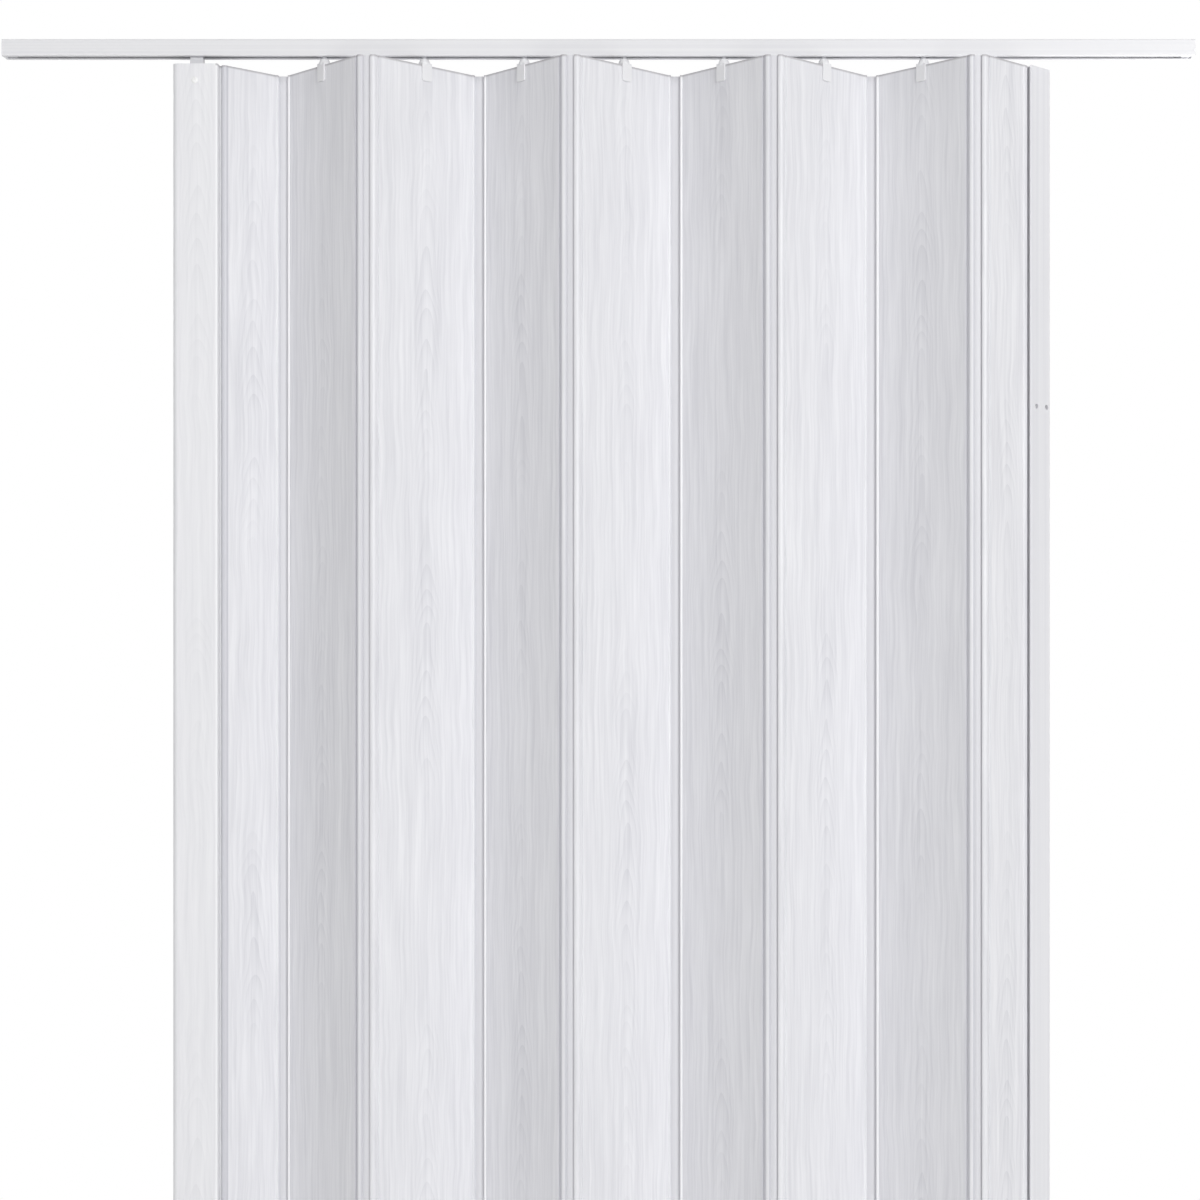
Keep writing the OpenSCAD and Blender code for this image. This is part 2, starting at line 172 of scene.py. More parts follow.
def extrusion(bottom, top, *outlines, arc=12):
    """A bmesh of one section or several between two heights. All lengths in millimetres."""
    bm = bmesh.new()
    for items in outlines:
        outline(bm, items, arc)
    bmesh.ops.remove_doubles(bm, verts=bm.verts, dist=1e-4)
    bmesh.ops.triangle_fill(bm, use_beauty=True, use_dissolve=False, edges=bm.edges[:])
    bmesh.ops.translate(bm, verts=bm.verts, vec=(0, 0, bottom))
    pushed = bmesh.ops.extrude_face_region(bm, geom=bm.faces[:])["geom"]
    bmesh.ops.translate(bm, verts=[v for v in pushed if isinstance(v, bmesh.types.BMVert)],
                        vec=(0, 0, top - bottom))
    return merge(bm)


test = extrusion(0, 3, box_items(0, 10, 0, 5, 1))
print("test block:", len(test.faces), "faces,", round(test.calc_volume(), 2), "mm3")
test.free()

# %% [markdown]
# ## Turned shapes
# Screws, the clips' shoulders and the gliders' necks are round, so their outline is drawn in
# radius and height, stood up and spun full circle. A full spin needs `use_merge`, or its seam
# stays open.

# %% Place and turn
def placed(bm, x=0, y=0, z=0, turn=0, axis="Z"):
    """The bmesh turned about an axis through the origin and then moved."""
    bmesh.ops.rotate(bm, verts=bm.verts, cent=(0, 0, 0),
                     matrix=Matrix.Rotation(math.radians(turn), 3, axis))
    bmesh.ops.translate(bm, verts=bm.verts, vec=(x, y, z))
    return bm


def lathe(items, steps=40):
    """A turned solid from an outline in (radius, height) that starts and ends on the axis."""
    bm = bmesh.new()
    outline(bm, items, arc=22)
    on_axis = [e for e in bm.edges if all(abs(v.co.x) < 1e-6 for v in e.verts)]
    bmesh.ops.delete(bm, geom=on_axis, context="EDGES")
    placed(bm, turn=90, axis="X")
    bmesh.ops.spin(bm, geom=bm.verts[:] + bm.edges[:], cent=(0, 0, 0), axis=(0, 0, 1),
                   angle=math.tau, steps=steps, use_merge=True)
    return merge(bm)


test = lathe([(0, 0), (2, 0), (2, 5), (0, 5)])
print("test pin:", len(test.faces), "faces,", round(test.calc_volume(), 2), "mm3")
test.free()

# %% [markdown]
# ## Cutting and joining
# A shape becomes an object while it is still in millimetres, because a Boolean modifier, which
# cuts the chambers and holes, is unsure of itself on parts of a millimetre written in metres.
# Its result is kept as the mesh.

# %% Boolean helpers
def as_object(bm, name):
    mesh = bpy.data.meshes.new(name)
    bm.to_mesh(mesh)
    bm.free()
    thing = bpy.data.objects.new(name, mesh)
    scene.collection.objects.link(thing)
    return thing


def together(parts):
    """One bmesh of several."""
    whole = bmesh.new()
    for bm in parts:
        mesh = bpy.data.meshes.new("part")
        bm.to_mesh(mesh)
        bm.free()
        whole.from_mesh(mesh)
        bpy.data.meshes.remove(mesh)
    return whole


def combine(thing, operation, *tools):
    """A Boolean modifier on thing with bmeshes as its tool, kept as the new mesh. The tools may
    cross each other."""
    tool = as_object(together(tools), "tool")
    modifier = thing.modifiers.new("shape", "BOOLEAN")
    modifier.operation, modifier.object = operation, tool
    modifier.solver, modifier.use_self = "EXACT", len(tools) > 1
    graph = bpy.context.evaluated_depsgraph_get()
    old, thing.data = thing.data, bpy.data.meshes.new_from_object(thing.evaluated_get(graph))
    thing.modifiers.clear()
    bpy.data.meshes.remove(old)
    bpy.data.meshes.remove(tool.data)
    return thing


def drill(x, y, z, radius, length, upright=False):
    """A bmesh of a round bit with its middle at that place, along y or upright."""
    bm = bmesh.new()
    bmesh.ops.create_cone(bm, cap_ends=True, segments=32, radius1=radius, radius2=radius,
                          depth=length)
    return placed(bm, x, y, z, 0 if upright else 90, "X")


test = combine(as_object(lathe([(0, 0), (2, 0), (2, 5), (0, 5)]), "test"), "DIFFERENCE",
               drill(0, 0, 2.5, 1, 6))
print("test pin with a hole:", len(test.data.polygons), "faces")
bpy.data.meshes.remove(test.data)

# %% [markdown]
# ## From a bmesh to a piece
# A finished piece is scaled to metres in its mesh, rides on the body that carries it and hides
# the CAD nodes that it stands for. Faces that meet at a soft angle are shaded smooth and the
# others keep a crisp edge. Normals weighted by area leave the broad flat faces flat beside their
# rounded corners.

# %% Finishing a piece
MM = 0.001
finishes = {}                              # material slot -> Blender material


def piece(thing, body, slot, *nodes, finish=None, crisp=46):
    """Clean, scale and shade a piece that rides on body and stands for nodes, and hide those nodes.
    Edges that turn by more than crisp degrees stay crisp."""
    bm = bmesh.new()
    bm.from_mesh(thing.data)
    bmesh.ops.remove_doubles(bm, verts=bm.verts, dist=1e-4)
    bmesh.ops.dissolve_degenerate(bm, dist=1e-4, edges=bm.edges)
    open_edges = sum(len(e.link_faces) != 2 for e in bm.edges)
    volume = bm.calc_volume() / 1000
    for face in bm.faces:
        face.smooth = True
    for edge in bm.edges:
        edge.smooth = edge.calc_face_angle(0) < math.radians(crisp)
    bmesh.ops.scale(bm, verts=bm.verts, vec=(MM, MM, MM))
    bm.to_mesh(thing.data)
    bm.free()
    thing.data.name = thing.name
    thing.modifiers.new("flat stays flat", "WEIGHTED_NORMAL").keep_sharp = True
    thing.data.materials.clear()
    thing.data.materials.append(finishes[finish or slot])
    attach(thing, body)
    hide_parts(*nodes)
    print(f"{thing.name}: {len(thing.data.polygons)} faces, {volume:.1f} cm3,",
          open_edges, "open edges")


# %% [markdown]
# ## Colours and nodes
# A material is a small tree of nodes. One function adds any node with its settings and its
# links, so that each material below reads as a list of what happens to the surface. Colours
# are written as they look on a screen, in hex, and turned to the linear values of light.

# %% Node and colour helpers
FACTOR, LOW, HIGH, MIXED = 0, 6, 7, 2      # sockets of a Mix node that mixes colours


def linear(colour):
    channels = [int(colour[i:i + 2], 16) / 255 for i in (1, 3, 5)]
    return (*(c / 12.92 if c <= 0.04045 else ((c + 0.055) / 1.055) ** 2.4 for c in channels), 1)


def add(tree, kind, sockets=(), **settings):
    """Add a node. A socket's value is a number, a colour, a vector, another node, which gives
    its first output, or any other output of a node."""
    new = tree.nodes.new("ShaderNode" + kind)
    for name, value in settings.items():
        setattr(new, name, value)
    for socket, value in dict(sockets).items():
        if isinstance(value, bpy.types.Node):
            value = value.outputs[0]
        if isinstance(value, bpy.types.NodeSocket):
            tree.links.new(value, new.inputs[socket])
        else:
            new.inputs[socket].default_value = value
    return new


def material(name, slot, roughness, ior, metallic=0.0):
    """A material with its shader; the caller adds its pattern."""
    new = bpy.data.materials.new(name)
    new.use_nodes = True
    tree = new.node_tree
    tree.nodes.clear()
    shader = add(tree, "BsdfPrincipled",
                 {"Roughness": roughness, "IOR": ior, "Metallic": metallic})
    add(tree, "OutputMaterial", {"Surface": shader})
    finishes[slot] = new
    return tree, shader


print("#808080 is", round(linear("#808080")[0], 3), "of the light")

# %% [markdown]
# ## Slat finish: white PVC with an embossed ash grain
# The slats and the lead profile come out of the die smooth, and a heated roller prints and
# presses a faint ash grain into them: streaks along the slat and, down its middle here and
# there, nested arches, as a board sawn beside its heart shows. The pattern reads the slat's own
# UV map, `grain`, in metres from its centre line and along it. First come the two directions
# and a noise that is drawn out along the slat, with which the centre line sways a little.

# %% The grain's place
SWAY = 0.010                               # metres between the centre line's extremes
tree, shader = material("embossed_ash_pvc", "ash_pvc", 0.42, 1.53)
grain_map = add(tree, "UVMap", uv_map="grain")
across_along = add(tree, "SeparateXYZ", {0: grain_map})


def grain_noise(across, along, detail, where=grain_map):
    """Noise that changes that many times a metre across the slat and along it."""
    stretched = add(tree, "Mapping", {"Vector": where, "Scale": (across, along, 1)})
    return add(tree, "TexNoise",
               {"Vector": stretched, "Scale": 1.0, "Detail": detail, "Roughness": 0.6})


sway = add(tree, "Math", {0: grain_noise(14, 11, 2.0), 1: SWAY, 2: -SWAY / 2},
           operation="MULTIPLY_ADD")
swayed = add(tree, "Math", {0: across_along.outputs["X"], 1: sway}, operation="ADD")
bent = add(tree, "CombineXYZ", {0: swayed, 1: across_along.outputs["Y"]})
print("the grain's centre line sways by up to", SWAY / 2 * 1000, "mm to each side")

# %% [markdown]
# ## Arches and streaks
# An arch is the curve v = k - 8 sqrt(u^2 + 9.5^2) in mm, round at its top and steep at its sides.
# The arches follow each other every 25 mm or so, darkest at one edge, and fade out in patches
# and towards the slat's edges. The streaks are two noises, of single fibres and of broader bands.

# %% Arches and streaks
ARCH, STEEP, ROUND = 0.025, 8, 0.0095      # metres between arches, their slope, a top's radius
FIBRE = (0.0029, 0.11)                     # metres: a streak's width and length, as coarse as shows
squares = add(tree, "Math", {0: swayed, 1: swayed, 2: ROUND ** 2}, operation="MULTIPLY_ADD")
reach = add(tree, "Math", {0: squares}, operation="SQRT")
uneven = add(tree, "Math", {0: grain_noise(3, 14, 1.0), 1: 0.09, 2: across_along.outputs["Y"]},
             operation="MULTIPLY_ADD")
level = add(tree, "Math", {0: reach, 1: STEEP, 2: uneven}, operation="MULTIPLY_ADD")
rising = add(tree, "Math", {0: add(tree, "Math", {0: level, 1: ARCH}, operation="DIVIDE")},
             operation="FRACT")
arch = add(tree, "Math", {0: rising, 1: 2.0}, operation="POWER")
patches = add(tree, "MapRange", {"Value": grain_noise(9, 3.5, 1.0), "From Min": 0.42,
                                 "From Max": 0.58})
midway = add(tree, "MapRange", {"Value": reach, "From Min": 0.020, "From Max": 0.011})
patch = add(tree, "Math", {0: patches, 1: midway}, operation="MULTIPLY")
arches = add(tree, "Math", {0: arch, 1: patch}, operation="MULTIPLY")
streaks, bands = (add(tree, "MapRange", {"Value": noise, "From Min": 0.34, "From Max": 0.66})
                  for noise in (grain_noise(1 / FIBRE[0], 1 / FIBRE[1], 3.0, bent),
                                grain_noise(95, 4, 2.0, bent)))
grain = add(tree, "Math", {0: bands, 1: 0.26, 2: 0.24}, operation="MULTIPLY_ADD")
grain = add(tree, "Math", {0: streaks, 1: 0.50, 2: grain}, operation="MULTIPLY_ADD")
grain = add(tree, "Math", {0: arches, 1: -0.38, 2: grain}, operation="MULTIPLY_ADD")
print("ash grain: arches", ARCH * 1000, "mm apart, fibres", FIBRE[0] * 1000, "mm wide")

# %% [markdown]
# ## Where the roller reaches, and painted light and shade
# The attribute `zone` is 2 where the roller reaches. It is 1 on the lip ribs, which stay without
# grain and are painted whiter than the print as a painted highlight, and 0 inside the channels
# and in the groove before a front fold, which are painted grey as painted shade. The lead
# profile, zone 3, is printed paler, painted light that brightens its front face. A slat's top
# edge is darker, but the lead profile's is not. The relief of the print is about 0.05 mm deep.

# %% Colour and relief of the ash PVC
TOP_DARK_BAND = (-0.0232, -0.0216)                  # metres: heights between which the top edge darkens
zone = add(tree, "Attribute", attribute_name="zone").outputs["Fac"]
not_painted_shade = add(tree, "Math", {0: zone, 1: 1.0}, operation="MULTIPLY", use_clamp=True)
pressed = add(tree, "Math", {0: zone, 1: 1.0}, operation="SUBTRACT", use_clamp=True)
lead_face = add(tree, "Math", {0: zone, 1: 2.0}, operation="SUBTRACT", use_clamp=True)
top_darkens = add(tree, "Math", {0: 3.0, 1: zone}, operation="SUBTRACT", use_clamp=True)
height = add(tree, "SeparateXYZ", {0: add(tree, "TexCoord").outputs["Object"]})
top_edge = add(tree, "MapRange", {"Value": height.outputs["Z"], "From Min": TOP_DARK_BAND[0],
                                  "From Max": TOP_DARK_BAND[1]})
darker_top = add(tree, "Math", {0: top_edge, 1: top_darkens}, operation="MULTIPLY")
shown = add(tree, "Math", {0: grain, 1: 1.0}, operation="MULTIPLY", use_clamp=True)
lead_painted_light = add(tree, "Math", {0: lead_face, 1: 0.45}, operation="MULTIPLY")
top_darkening = add(tree, "Math", {0: darker_top, 1: 0.75}, operation="MULTIPLY")
tint = add(tree, "Mix", {FACTOR: shown, LOW: linear("#D7D7DC"), HIGH: linear("#F0F0F3")},
           data_type="RGBA").outputs[MIXED]
# In turn: the lead is made paler, painted light; the lip ribs white, a painted highlight; the
# channels and grooves grey, painted shade; and the top edge darker.
for factor, low, high in ((lead_painted_light, None, "#F2F2F4"), (pressed, "#F2F2F4", None),
                          (not_painted_shade, "#CFCFD5", None), (top_darkening, None, "#AAA7AB")):
    tint = add(tree, "Mix", {FACTOR: factor,       # None stands for the colour so far
                             LOW: linear(low) if low else tint,
                             HIGH: linear(high) if high else tint},
               data_type="RGBA").outputs[MIXED]
shader.inputs["Base Color"].default_value = linear("#E4E4E7")
tree.links.new(tint, shader.inputs["Base Color"])
relief = add(tree, "Math", {0: grain, 1: pressed}, operation="MULTIPLY")
bump = add(tree, "Bump", {"Height": relief, "Strength": 0.5, "Distance": 0.00005})
tree.links.new(bump.outputs[0], shader.inputs["Normal"])
print("embossed ash PVC:", len(tree.nodes), "nodes")

# %% [markdown]
# ## Rail and wall profile: plain extruded PVC
# A profile that isn't embossed keeps the die's own marks, hair lines that run its whole length
# and catch the light at a flat angle. They differ between the rail, which lies along x, and the
# wall profile, which stands along z, so the noise is squeezed across both and a piece shows
# the lines along its own length. Real ones are some tenths of a millimetre apart, and these are
# drawn 2 and 2.5 mm apart, as fine as shows. The hinge strips are softer PVC with more gloss.
# The strips are painted a shade greyer than the rail, painted shade for the recesses at the folds.

# %% Extruded PVC, for what lies along x and what stands along z
def die_lines(tree, shader, stretch, low, high, depth):
    """Hair lines along a profile: noise squeezed across it by stretch, in changes a metre."""
    squeezed = add(tree, "Mapping", {"Vector": add(tree, "TexCoord").outputs["Object"],
                                     "Scale": stretch})
    lines = add(tree, "TexNoise", {"Vector": squeezed, "Scale": 1.0, "Detail": 3.0})
    marked = add(tree, "MapRange", {"Value": lines, "From Min": 0.35, "From Max": 0.65})
    tint = add(tree, "Mix", {FACTOR: marked, LOW: linear(low), HIGH: linear(high)},
               data_type="RGBA")
    bump = add(tree, "Bump", {"Height": lines, "Strength": 0.5, "Distance": depth})
    tree.links.new(tint.outputs[MIXED], shader.inputs["Base Color"])
    tree.links.new(bump.outputs[0], shader.inputs["Normal"])


HAIR, FINE, ALONG = 1 / 0.0025, 1 / 0.002, 1.5        # changes a metre across and along
for name, slot, rough, ior, stretch, low, high, depth in (
        ("extruded_white_pvc_rail", "white_pvc", 0.40, 1.53,
         (ALONG, HAIR, HAIR), "#E4E4E7", "#EAEAEC", 0.00003),
        # the hinge strips: a shade greyer, painted shade for their recesses
        ("extruded_soft_white_pvc", "soft_pvc", 0.30, 1.52,
         (FINE, FINE, ALONG), "#DDDDE1", "#E4E4E8", 0.00002),
        ("extruded_white_pvc_upright", "upright", 0.38, 1.53,
         (HAIR, HAIR, ALONG), "#E2E2E6", "#E9E9EC", 0.00003)):
    die_lines(*material(name, slot, rough, ior), stretch, low, high, depth)
    print(name, "with die lines every", 1000 / max(stretch), "mm")

# %% [markdown]
# ## Clips, gliders and screws
# The clips are moulded nylon and the gliders moulded acetal: both come from a spark-eroded
# mould, whose fine pits of about 0.1 mm leave a satin skin. At this size the pits are drawn at
# 0.4 mm, as fine as a close view shows. The small screw in the lead profile is enamelled white.
# The handles' long screws are zinc-plated steel, a metal with a clouded, slightly blue shine.

# %% Moulded plastics, enamel and zinc
def speckle(tree, shader, pitch, low, high, depth):
    """An even grain of pits, pitch metres apart."""
    pits = add(tree, "TexNoise", {"Vector": add(tree, "TexCoord").outputs["Object"],
                                  "Scale": 1 / pitch, "Detail": 2.0})
    tint = add(tree, "Mix", {FACTOR: pits, LOW: linear(low), HIGH: linear(high)},
               data_type="RGBA")
    bump = add(tree, "Bump", {"Height": pits, "Strength": 0.4, "Distance": depth})
    tree.links.new(tint.outputs[MIXED], shader.inputs["Base Color"])
    tree.links.new(bump.outputs[0], shader.inputs["Normal"])


for name, slot, rough, ior, metal, pitch, low, high in (
        ("moulded_white_nylon", "clip_white", 0.45, 1.53, 0, 0.0004, "#E6E6E8", "#F0F0F2"),
        ("moulded_grey_acetal", "acetal", 0.35, 1.48, 0, 0.0004, "#D2D2D6", "#DDDDE0"),
        ("enamelled_steel", "white_screw", 0.25, 1.55, 0, 0.0010, "#F3F3F3", "#FAFAFA"),
        ("zinc_plated_steel", "zinc_steel", 0.32, 1.5, 1, 0.0012, "#B4B8BE", "#CDD0D4")):
    speckle(*material(name, slot, rough, ior, metal), pitch, low, high, 0.00001)
print("materials:", ", ".join(m.name for m in finishes.values()))

# %% [markdown]
# ## The rail
# The rail is a C channel 14 mm square with walls of 1.3 mm and a slot of 7 mm along its
# underside, in which the gliders' necks run. Its section is drawn in y and z, pushed to a metre
# and laid along x. Four holes in the top take the screws to the lintel. The corners have small
# radii, because no die makes a sharp one, and these give the rail its thin lines of light.

# %% Rail
RAIL_END = 500                             # from the rail's middle to its ends
RAIL_HOLES = (-450, -150, 150, 450)        # of the screws to the lintel
rail_corners = [(-7, 0, .8), (-7, -14, .8), (-3.5, -14, .4), (-3.5, -12.7, .3),
                (-5.7, -12.7, .5), (-5.7, -1.3, .8)]
rail_section = rail_corners + [(-x, y, r) for x, y, r in reversed(rail_corners)]
LAY = Matrix(((0, 0, 1), (1, 0, 0), (0, 1, 0)))       # a section's x, y and length to y, z and x


def laid(bm):
    """A profile that stands along z laid along x, its section's x to y and y to z."""
    bmesh.ops.transform(bm, matrix=LAY.to_4x4(), verts=bm.verts)
    return bm


rail = as_object(laid(extrusion(-RAIL_END, RAIL_END, rail_section, arc=22)), "rail_channel")
combine(rail, "DIFFERENCE", *(drill(x, 0, 0, 2.1, 6, upright=True) for x in RAIL_HOLES))
piece(rail, "rail", "white_pvc", "rail")

# %% [markdown]
# ## The rail's end plugs
# Each end is closed by a moulded plug, flush with the rail, that keeps the gliders in. It is a
# rounded block that fills the channel, with a short tongue down into the slot, and a second
# block cut from it leaves it hollow from the inside, to save plastic.

# %% End plugs
def block(x0, x1, y0, y1, z0, z1, soft=0.4):
    """A rectangular block with bevelled edges."""
    bm = bmesh.new()
    bmesh.ops.create_cube(bm, size=1)
    bmesh.ops.scale(bm, verts=bm.verts, vec=(x1 - x0, y1 - y0, z1 - z0))
    bmesh.ops.translate(bm, verts=bm.verts, vec=((x0 + x1) / 2, (y0 + y1) / 2, (z0 + z1) / 2))
    bmesh.ops.bevel(bm, geom=bm.edges[:], offset=soft, segments=2, profile=0.5,
                    affect="EDGES", material=-1)
    return bm


plugs = []
for side, where in ((-1, "left"), (1, "right")):
    low, high = sorted((side * (RAIL_END - 10), side * RAIL_END))
    foot = sorted((side * (RAIL_END - 2), side * RAIL_END))
    plug = as_object(block(low, high, -5.6, 5.6, -12.6, -1.4), f"rail_plug_{where}")
    combine(plug, "UNION", block(*foot, -3.4, 3.4, -14, -12.2, 0.3))
    combine(plug, "DIFFERENCE",
            block(low - 2 * side, high - 2 * side, -3.6, 3.6, -10.7, -3.6, 0.5))
    piece(plug, "rail", "white_pvc", f"rail_end_plug_{where}")
    plugs.append(plug)

# %% [markdown]
# ## A slat's section
# A slat is 6 mm thick with walls of 0.9 mm, and ribs part it into chambers. Each edge ends in a
# round channel of 6.7 mm that holds a strip's bead. The channel's mouth faces the inner side of
# its fold and is wide enough for the whole swing of the strip's web. The outline leads through
# a shallow groove, round the channel's outside, over the lip, back through the bore and out over
# the other lip, which a low rounded rib thickens. Turned by half a turn about the slat's middle,
# the same steps make the other edge.

# %% Section of a slat
THICK, WALL = 3, 0.9                       # half a slat's thickness, and its walls'
CHANNEL, BORE, EASE = 3.36, 1.56, 0.3      # radii of the channel, its bore and its lips' edges
MEET = 180 - math.degrees(math.asin(THICK / CHANNEL))      # where it meets the slat's face
FOLD_MOUTH, WALL_MOUTH = (-108.73, 6.43), (-28.73, 95.73)  # directions between the lips
RIB, PROUD = 1.25, 0.9                     # half the lip rib's width, and its height
GROOVE = (3.9, 3.7, 2.35)                  # from the channel's axis: its edge, foot and floor


def channel(x, turn, mouth, grooved=True):
    """The items of an outline round a channel's wall, whose mouth lies between two directions."""
    low, high = mouth
    out, into = math.degrees(EASE / CHANNEL), math.degrees(EASE / BORE)

    def p(radius, degrees):
        return at(x, 0, radius, degrees + turn)

    side = 1 if turn else -1
    edge, foot, floor = GROOVE
    groove = [(x + side * edge, -side * THICK), (x + side * foot, -side * floor)]
    rib_radius = (RIB ** 2 + PROUD ** 2) / (2 * PROUD)
    rib_x, rib_y = p(CHANNEL, -MEET)
    rib = [("turn", rib_x + side * RIB, rib_y - side * (rib_radius - PROUD),
            -2 * math.degrees(math.asin(RIB / rib_radius))), (rib_x + side * 2 * RIB, rib_y)]
    return (groove if grooved else []) + [
        p(CHANNEL, MEET), ("turn", x, 0, -(MEET - high - out)), p(CHANNEL, high + out),
        p(CHANNEL - EASE, high), p(BORE + EASE, high), p(BORE, high + into),
        ("turn", x, 0, 360 - (high - low) - 2 * into), p(BORE, low - into),
        p(BORE + EASE, low), p(CHANNEL - EASE, low), p(CHANNEL, low - out),
        ("turn", x, 0, -(low - out + MEET)), p(CHANNEL, -MEET)] + rib


print("a channel meets the slat's face", round(-CHANNEL * math.cos(math.radians(MEET)), 2),
      "mm from its axis")

# %% [markdown]
# ## A slat's chambers and its print
# The chambers are bars that a Boolean cuts from end to end, so that the slat's ends stand open
# as a sawn extrusion's do. Then every slat gets its UV map and its zones, while it still lies
# square in its own frame, and is turned and moved to its place in the door.

# %% Slat helpers
CELL, CELL_HALF = 13.183, 6.19             # from one chamber to the next, half a chamber's width
GRAIN_START = 2110                         # each profile takes its grain this much further on


def bars(x_ranges, y, radii):
    """The tool that opens a profile's chambers, one bar for each range of x."""
    return extrusion(BOTTOM - 1, TOP + 1, *(box_items(x0, x1, -y, y, *r)
                                            for (x0, x1), r in zip(x_ranges, radii)))


def slat(i, width, cells, right_mouth):
    """Slat i in its own frame: x across it, y through it, z up."""
    section = channel(width / 2, 0, right_mouth) + channel(-width / 2, 180, FOLD_MOUTH, i > 1)
    thing = as_object(extrusion(BOTTOM, TOP, section, arc=15), f"slat_{i}_extrusion")
    middles = [CELL * (n - (cells - 1) / 2) for n in range(cells)]
    return combine(thing, "DIFFERENCE", bars([(x - CELL_HALF, x + CELL_HALF) for x in middles],
                                             THICK - WALL, [(.5,)] * cells))


def press_grain(thing, middle, n, zone_at):
    """The UV map that the grain follows, from the centre line at x = middle and with its own
    start for each profile n, and the zone of every face by the place of its middle."""
    bm = bmesh.new()
    bm.from_mesh(thing.data)
    grain = bm.loops.layers.uv.new("grain")
    zone = bm.faces.layers.float.new("zone")
    for face in bm.faces:
        face[zone] = zone_at(*face.calc_center_median()[:2])
        for loop in face.loops:
            x, y, z = loop.vert.co
            loop[grain].uv = ((x - middle) * MM, (z + GRAIN_START * n) * MM)
    bm.to_mesh(thing.data)
    bm.free()


def stand(thing, x, y=0, turn=0, mirrored=False):
    """Move a profile from its own frame to its place in the door."""
    matrix = (Matrix.Translation((x, y, 0)) @ Matrix.Rotation(math.radians(turn), 4, "Z")
              @ Matrix.Diagonal((1, -1 if mirrored else 1, 1, 1)))
    thing.data.transform(matrix)
    if mirrored:
        thing.data.flip_normals()


print("chambers", 2 * CELL_HALF, "mm wide, with ribs of", round(CELL - 2 * CELL_HALF, 2), "mm")

# %% [markdown]
# ## Nine slats
# Seven whole slats hang from gliders at their middles. Even slats go from back to front and are
# the mirror image of the odd ones. A half slat follows the lead profile, and another, whose
# right mouth opens wider, carries the wall profile. A small hole in each face of a whole slat,
# near its top, takes the nub of its clip. The zone of a face follows from how far beyond the
# channel's axis it lies, and how far from that axis.

# %% Slats
NUB_Z = TOP - 10.5                         # height of the clips' nubs
RIB_FOOT, LIP_END = -1.45, 2.4             # beyond a channel's axis: a rib's foot, a lip's end
for i in range(1, 10):
    whole, even = 1 < i < 9, i % 2 == 0
    width = SLAT if whole else HALF
    thing = slat(i, width, 7 if whole else 3, WALL_MOUTH if i == 9 else FOLD_MOUTH)
    if whole:
        combine(thing, "DIFFERENCE", drill(0, 0, NUB_Z, 1.7, 8))

    # Zone 0 is painted shade, grey in channels and grooves; zone 1 is a painted highlight, white on
    # a lip rib; zone 2 takes the print.
    def zone_at(x, y):
        beyond = abs(x) - width / 2
        away = math.hypot(beyond, y)
        if abs(y) > THICK + 0.01 and beyond < RIB_FOOT:
            return 1 if x < 0 and i > 1 else 2
        if beyond < -GROOVE[0] or away > CHANNEL + 0.2 and not even:
            return 2
        if i == 1 and x < 0 or away < CHANNEL - 0.4 and beyond > RIB_FOOT:
            return 0
        return 0 if even and x > 0 and not 0 < beyond < LIP_END else 2

    press_grain(thing, 0, i, zone_at)
    x, y = {1: (LEAD_X + RUN / 2, DEPTH / 2),
            9: (WALL_X - RUN / 2, -DEPTH / 2)}.get(i, (slat_x(i), 0))
    stand(thing, x, y, -FOLD if even else FOLD, mirrored=even)
    piece(thing, f"slat_{i}", "ash_pvc", f"slat_{i}", crisp=18)

# %% [markdown]
# ## Hinge strips
# A strip is a flat web with a bead along both edges, extruded in one go from softer PVC. The
# four at the front folds and the four at the back folds are the same profile. In its outline
# the pen runs along the web and turns round each bead by what the web leaves of the circle.

# %% Hinge strips
WEB, BEAD = 0.55, 1.5                      # half the web's thickness and a bead's radius
NECK = math.sqrt(BEAD ** 2 - WEB ** 2)     # where the web meets the bead
AROUND = 360 - 2 * math.degrees(math.asin(WEB / BEAD))
strip_section = []
for side in (1, -1):
    strip_section += [(side * (STRIP / 2 - NECK), side * WEB),
                      ("turn", side * STRIP / 2, 0, -AROUND),
                      (side * (STRIP / 2 - NECK), -side * WEB)]
for n in range(1, 5):
    for where, x, y in (("front", slat_x(2 * n) + STEP / 2, -DEPTH),
                        ("back", slat_x(2 * n) - STEP / 2, DEPTH)):
        strip = as_object(placed(extrusion(BOTTOM, TOP, strip_section), x, y),
                          f"{where}_strip_{n}")
        piece(strip, f"{where}_hinge_{n}", "soft_pvc", f"{where}_hinge_{n}")

# %% [markdown]
# ## Lead profile
# The edge that is pulled is a thick hollow profile, well rounded on its outer side. Two ribs
# part off a middle chamber for the hanger's block. On its right a short neck carries the bead on
# which the first half slat hinges. It is embossed like the slats, so it gets the same UV map.
# Three screw holes go through its faces: one for the hanger and two right through for the
# handles.

